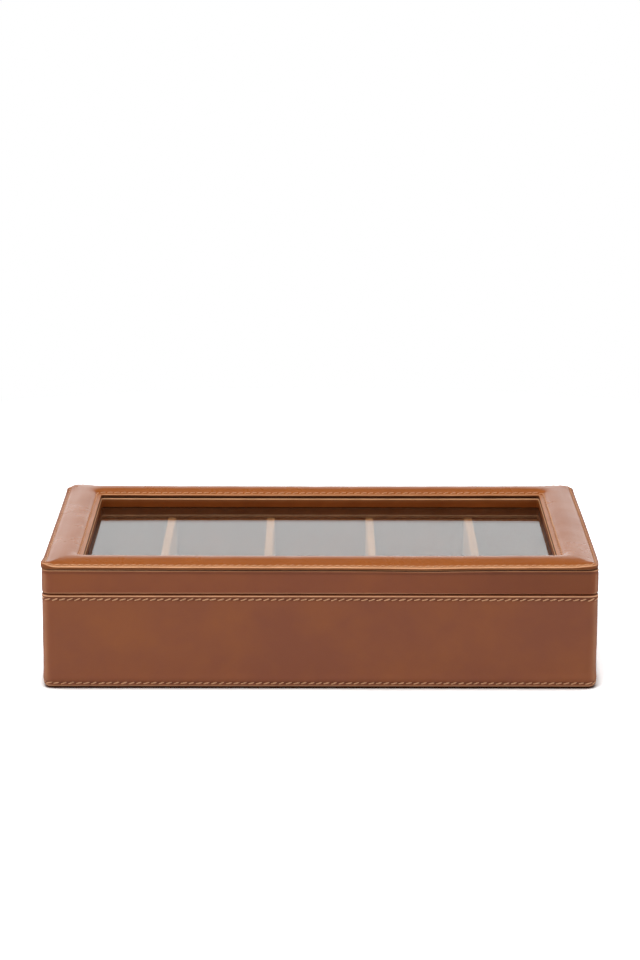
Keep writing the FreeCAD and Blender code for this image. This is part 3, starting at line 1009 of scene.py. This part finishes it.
def cover_marks(outer, inner):
    """The cover's marks on its outer edge, on its top and on its inner edge: painted highlight on worn
    leather above zero, painted shade below zero.
    """
    facing = np.abs(outward[:, 1])
    # Painted light by which way each side faces: lighter on the front and back, with shade on the left and
    # right
    flange = (0.8 * facing - 0.35) * (1 - smooth(outer, 2.3, 3.7)) + 0.12 * (1 - smooth(inner, 1.6, 2.8))
    flange += 0.8 * facing * (1 - smooth(np.minimum(outer, inner), 0.3, 0.8))
    # A painted highlight on the top of each turned edge, and painted shade below it
    outer_edge = np.array((1.3, 1.3, 0.7, -0.2, -0.4, -0.4))[:, None] * facing - 0.35 * (1 - facing)
    inner_edge = np.array((1.0, 0.4, -0.5, -1.0, -1.0, -1.0))[:, None] * np.maximum(facing, 0.6)
    return np.concatenate((outer_edge[::-1], flange, inner_edge))


def padded_cover():
    """The crowned leather ring, with a stitched valley along each edge."""
    sheet = cover_skin()
    outer, inner = edge_distances(sheet)
    under = sheet[4:-4:4][::-1] - (0, 0, cover_thickness)
    under[..., 2] = np.maximum(under[..., 2], cover_low.z)
    lift = corner_lift(sheet) * (1 - smooth(outer, 3.0, 9.0))
    sheet[..., 2] += lift + 0.015 * waves(sheet, 9, 81) + 0.04 * waves(sheet, 28, 82)
    for gap, away, row_inset in (
        (outer_row_inset, outer, outer_row_inset - overhang),
        (inner_row_inset, inner, window_inset - inner_row_inset),
    ):
        pull = 0.18 + 0.2 * hole_pull(row_inset, frame_radius(row_inset))
        sheet[..., 2] -= bell(away, gap, 0.85) * pull
    ring = np.concatenate((turned_edge(sheet[0], 1)[::-1], sheet, turned_edge(sheet[-1], -1), under))
    draw_corners(lift_ends(ring))
    marks = np.concatenate((cover_marks(outer, inner), np.zeros(under.shape[:2])))
    piece = ring_piece("padded_cover_leather", "lid", "cover", ring, marks, "padded_cover")
    draw_corners(lift_ends(sheet))
    lid_stitches("stitches_lid_outer", sheet, outer, outer_row_inset, 1, 83)
    lid_stitches("stitches_lid_inner", sheet[::-1], inner[::-1], inner_row_inset, -1, 84)


def lid_stitches(name, sheet, away, gap, side, seed):
    """A row of stitches in a valley of the padded cover, as far from its edge as the gap.

    The thread is pulled tighter towards the back, where it lies deeper.
    """
    path = np.array([
        [np.interp(gap, away[:, station], sheet[:, station, axis]) for axis in range(3)]
        for station in range(sheet.shape[1])
    ])
    path[:, 2] += 0.2 - 0.13 * smooth(path[:, 1], 30, 90)
    tilt = math.radians(15)
    out = np.column_stack((side * math.sin(tilt) * outward, np.full(len(path), math.cos(tilt))))
    stitch_row(name, "lid", path, out, seed, lid_stitch_half_width)


def pad_foam():
    """The foam ring inside the padded cover."""
    profile = flat_profile(3.6, window_inset - 4.2, 11)
    top = swept(profile, frame_radius, coarse=4)
    level, _ = pillow(top)
    top[..., 2] = np.maximum(level - 1.3, cover_low.z + 0.25)
    ends = swept(profile[[-1, 0]] + (0, cover_low.z + 0.05), frame_radius, coarse=4)
    loops = lift_ends(np.concatenate((top, ends)))
    piece = ring_piece("foam_ring", "lid", "foam", loops, np.zeros(len(loops)), "pad_foam")


def lid_lining():
    """Suede on the underside of the lid, which rests on the rim."""
    notch_end = 9.0  # inset from which the places of the hinges are as elsewhere
    profile = divided(rounded([
        (lining_inset, lining_low.z, 0.35, 0),
        (lining_inset, lining_high.z, 0, 0),
        (window_inset, lining_high.z, 0, 0),
        (window_inset, lining_low.z, 0.35, 0),
    ]), 2.0)
    loops = swept(profile, lambda inset: frame_radius(inset, lining_inset))
    notch(loops, 1, (lining_inset, notch_end), (leaf_reach, notch_end))
    lower = loops[..., 2] < lining_low.z + 0.1
    loops[..., 2] += lower * (0.05 + 0.04 * waves(loops, 25, 91))
    ring_piece("lid_lining_suede", "lid", "suede", loops, profile[:, 2], "lid_lining")


def dress_frame():
    """Finishes for the CAD nodes that stay as they are, by how their names begin."""
    finishes = {
        "bottom_board": "board", "wall_": "board", "divider_board": "board", "rail_": "board",
        # The beads under the glass are near-black, as painted shade below the window
        "filler_card": "card", "glass_pane": "glass", "bead_": "shade_black_suede", "hinge_": "brass",
    }
    for node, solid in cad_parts.items():
        for beginning, material in finishes.items():
            if node.startswith(beginning):
                solid.data.materials.clear()
                solid.data.materials.append(materials[material])


# Studio: white floor and surroundings, soft light from above


def studio_world():
    """White where the camera or glass looks, white low down in reflections, and softer elsewhere."""
    ambient = 0.304
    world = bpy.data.worlds.new("studio")
    scene.world = world
    build = Tree(world, "OutputWorld")
    direction = build.node("TexCoord").outputs["Generated"]
    up = build.node("SeparateXYZ", Vector=direction).outputs["Z"]
    horizon = build.between(up, 0.08, 0.22, 1.68, 1.008)
    mirrored = build.math("MULTIPLY", horizon, build.between(up, 0.33, 0.62, 1.0, 0.04))
    extra = build.math("MULTIPLY", build.seen_by("Is Glossy Ray"), build.math("SUBTRACT", mirrored, ambient))
    level = build.math("ADD", extra, ambient)
    seen = build.seen_by("Is Camera Ray", "Is Transmission Ray")
    build.finished(build.node("Background", Color=(1, 1, 1), Strength=build.math("MAXIMUM", level, seen)))


def studio_floor():
    """A white floor, which the camera sees so bright that only the deepest shadow shows, and a brown contact
    shadow painted where ambient occlusion closes in.
    """
    build = new_tree("studio_floor")
    paper = build.node("BsdfDiffuse", Color=(0.8, 0.8, 0.8))
    open_air = build.node("AmbientOcclusion", samples=8, Distance=0.01)
    open_share = build.between(open_air.outputs["AO"], 0.25, 0.85)
    # Painted contact shadow: brown where ambient occlusion closes in, as if bounced off the leather
    bright = build.node("BsdfDiffuse", Color=build.blend(open_share, (0.13, 0.045, 0.02), (2.0, 2.13, 2.2)))
    distance = build.node("VectorMath", operation="LENGTH")
    build.feed(distance.inputs[0], build.position())
    far_share = build.between(distance.outputs["Value"], 0.35, 0.8)
    white = build.choose(far_share, bright, build.node("Emission"))
    seen = build.seen_by("Is Camera Ray", "Is Transmission Ray")
    material = build.finished(build.choose(seen, paper, white))
    reach = 8.0
    mesh = bpy.data.meshes.new("floor")
    corners = [(-reach, -reach, 0), (reach, -reach, 0), (reach, reach, 0), (-reach, reach, 0)]
    mesh.from_pydata(corners, [], [(0, 1, 2, 3)])
    mesh.materials.append(material)
    placed("floor", mesh)


def softbox(name, place, size, power, colour=(1, 1, 1)):
    """A square soft lamp at a place, aimed at the middle of the case."""
    lamp = bpy.data.lights.new(name, "AREA")
    lamp.color = colour
    lamp.shape = "SQUARE"
    lamp.size = size
    lamp.energy = power
    made = placed(name, lamp)
    made.location = place
    made.rotation_euler = (Vector((0, 0, 0.05)) - Vector(place)).to_track_quat("-Z", "Y").to_euler()
    return made


def studio_camera():
    """The photograph's view: a 107 mm lens looking 14 degrees down, and hardly tilted."""
    camera = placed("camera", bpy.data.cameras.new("camera"))
    camera.data.sensor_width = 36.0
    camera.data.lens = 106.97
    camera.location = (-0.0001, -1.823, 0.5637)
    turned = Matrix.Rotation(math.radians(90 - 13.97), 3, "X") @ Matrix.Rotation(math.radians(0.065), 3, "Z")
    camera.rotation_euler = turned.to_euler()
    scene.camera = camera
    scene.view_settings.view_transform = "Standard"


base_leather()
base_stitches()
rim_binding()
bottom_pad()
wall_linings()
divider_covers()
floor_pads()
lid_side_band()
reveal_band()
backing_ring()
lid_lip()
padded_cover()
pad_foam()
lid_lining()
dress_frame()
studio_world()
studio_floor()
over = softbox("softbox_over", (-0.1, -0.1, 1.5), 1.4, 16.5)
over.visible_glossy = False
softbox("softbox_front", (-0.4, -1.3, 1.2), 0.5, 2.4)
warm = (1.0, 0.92, 0.82)
softbox("softbox_left", (-1.35, -0.2, 0.5), 0.7, 2.8, warm)
softbox("softbox_right", (1.35, -0.2, 0.5), 0.7, 1.7, warm)
studio_camera()
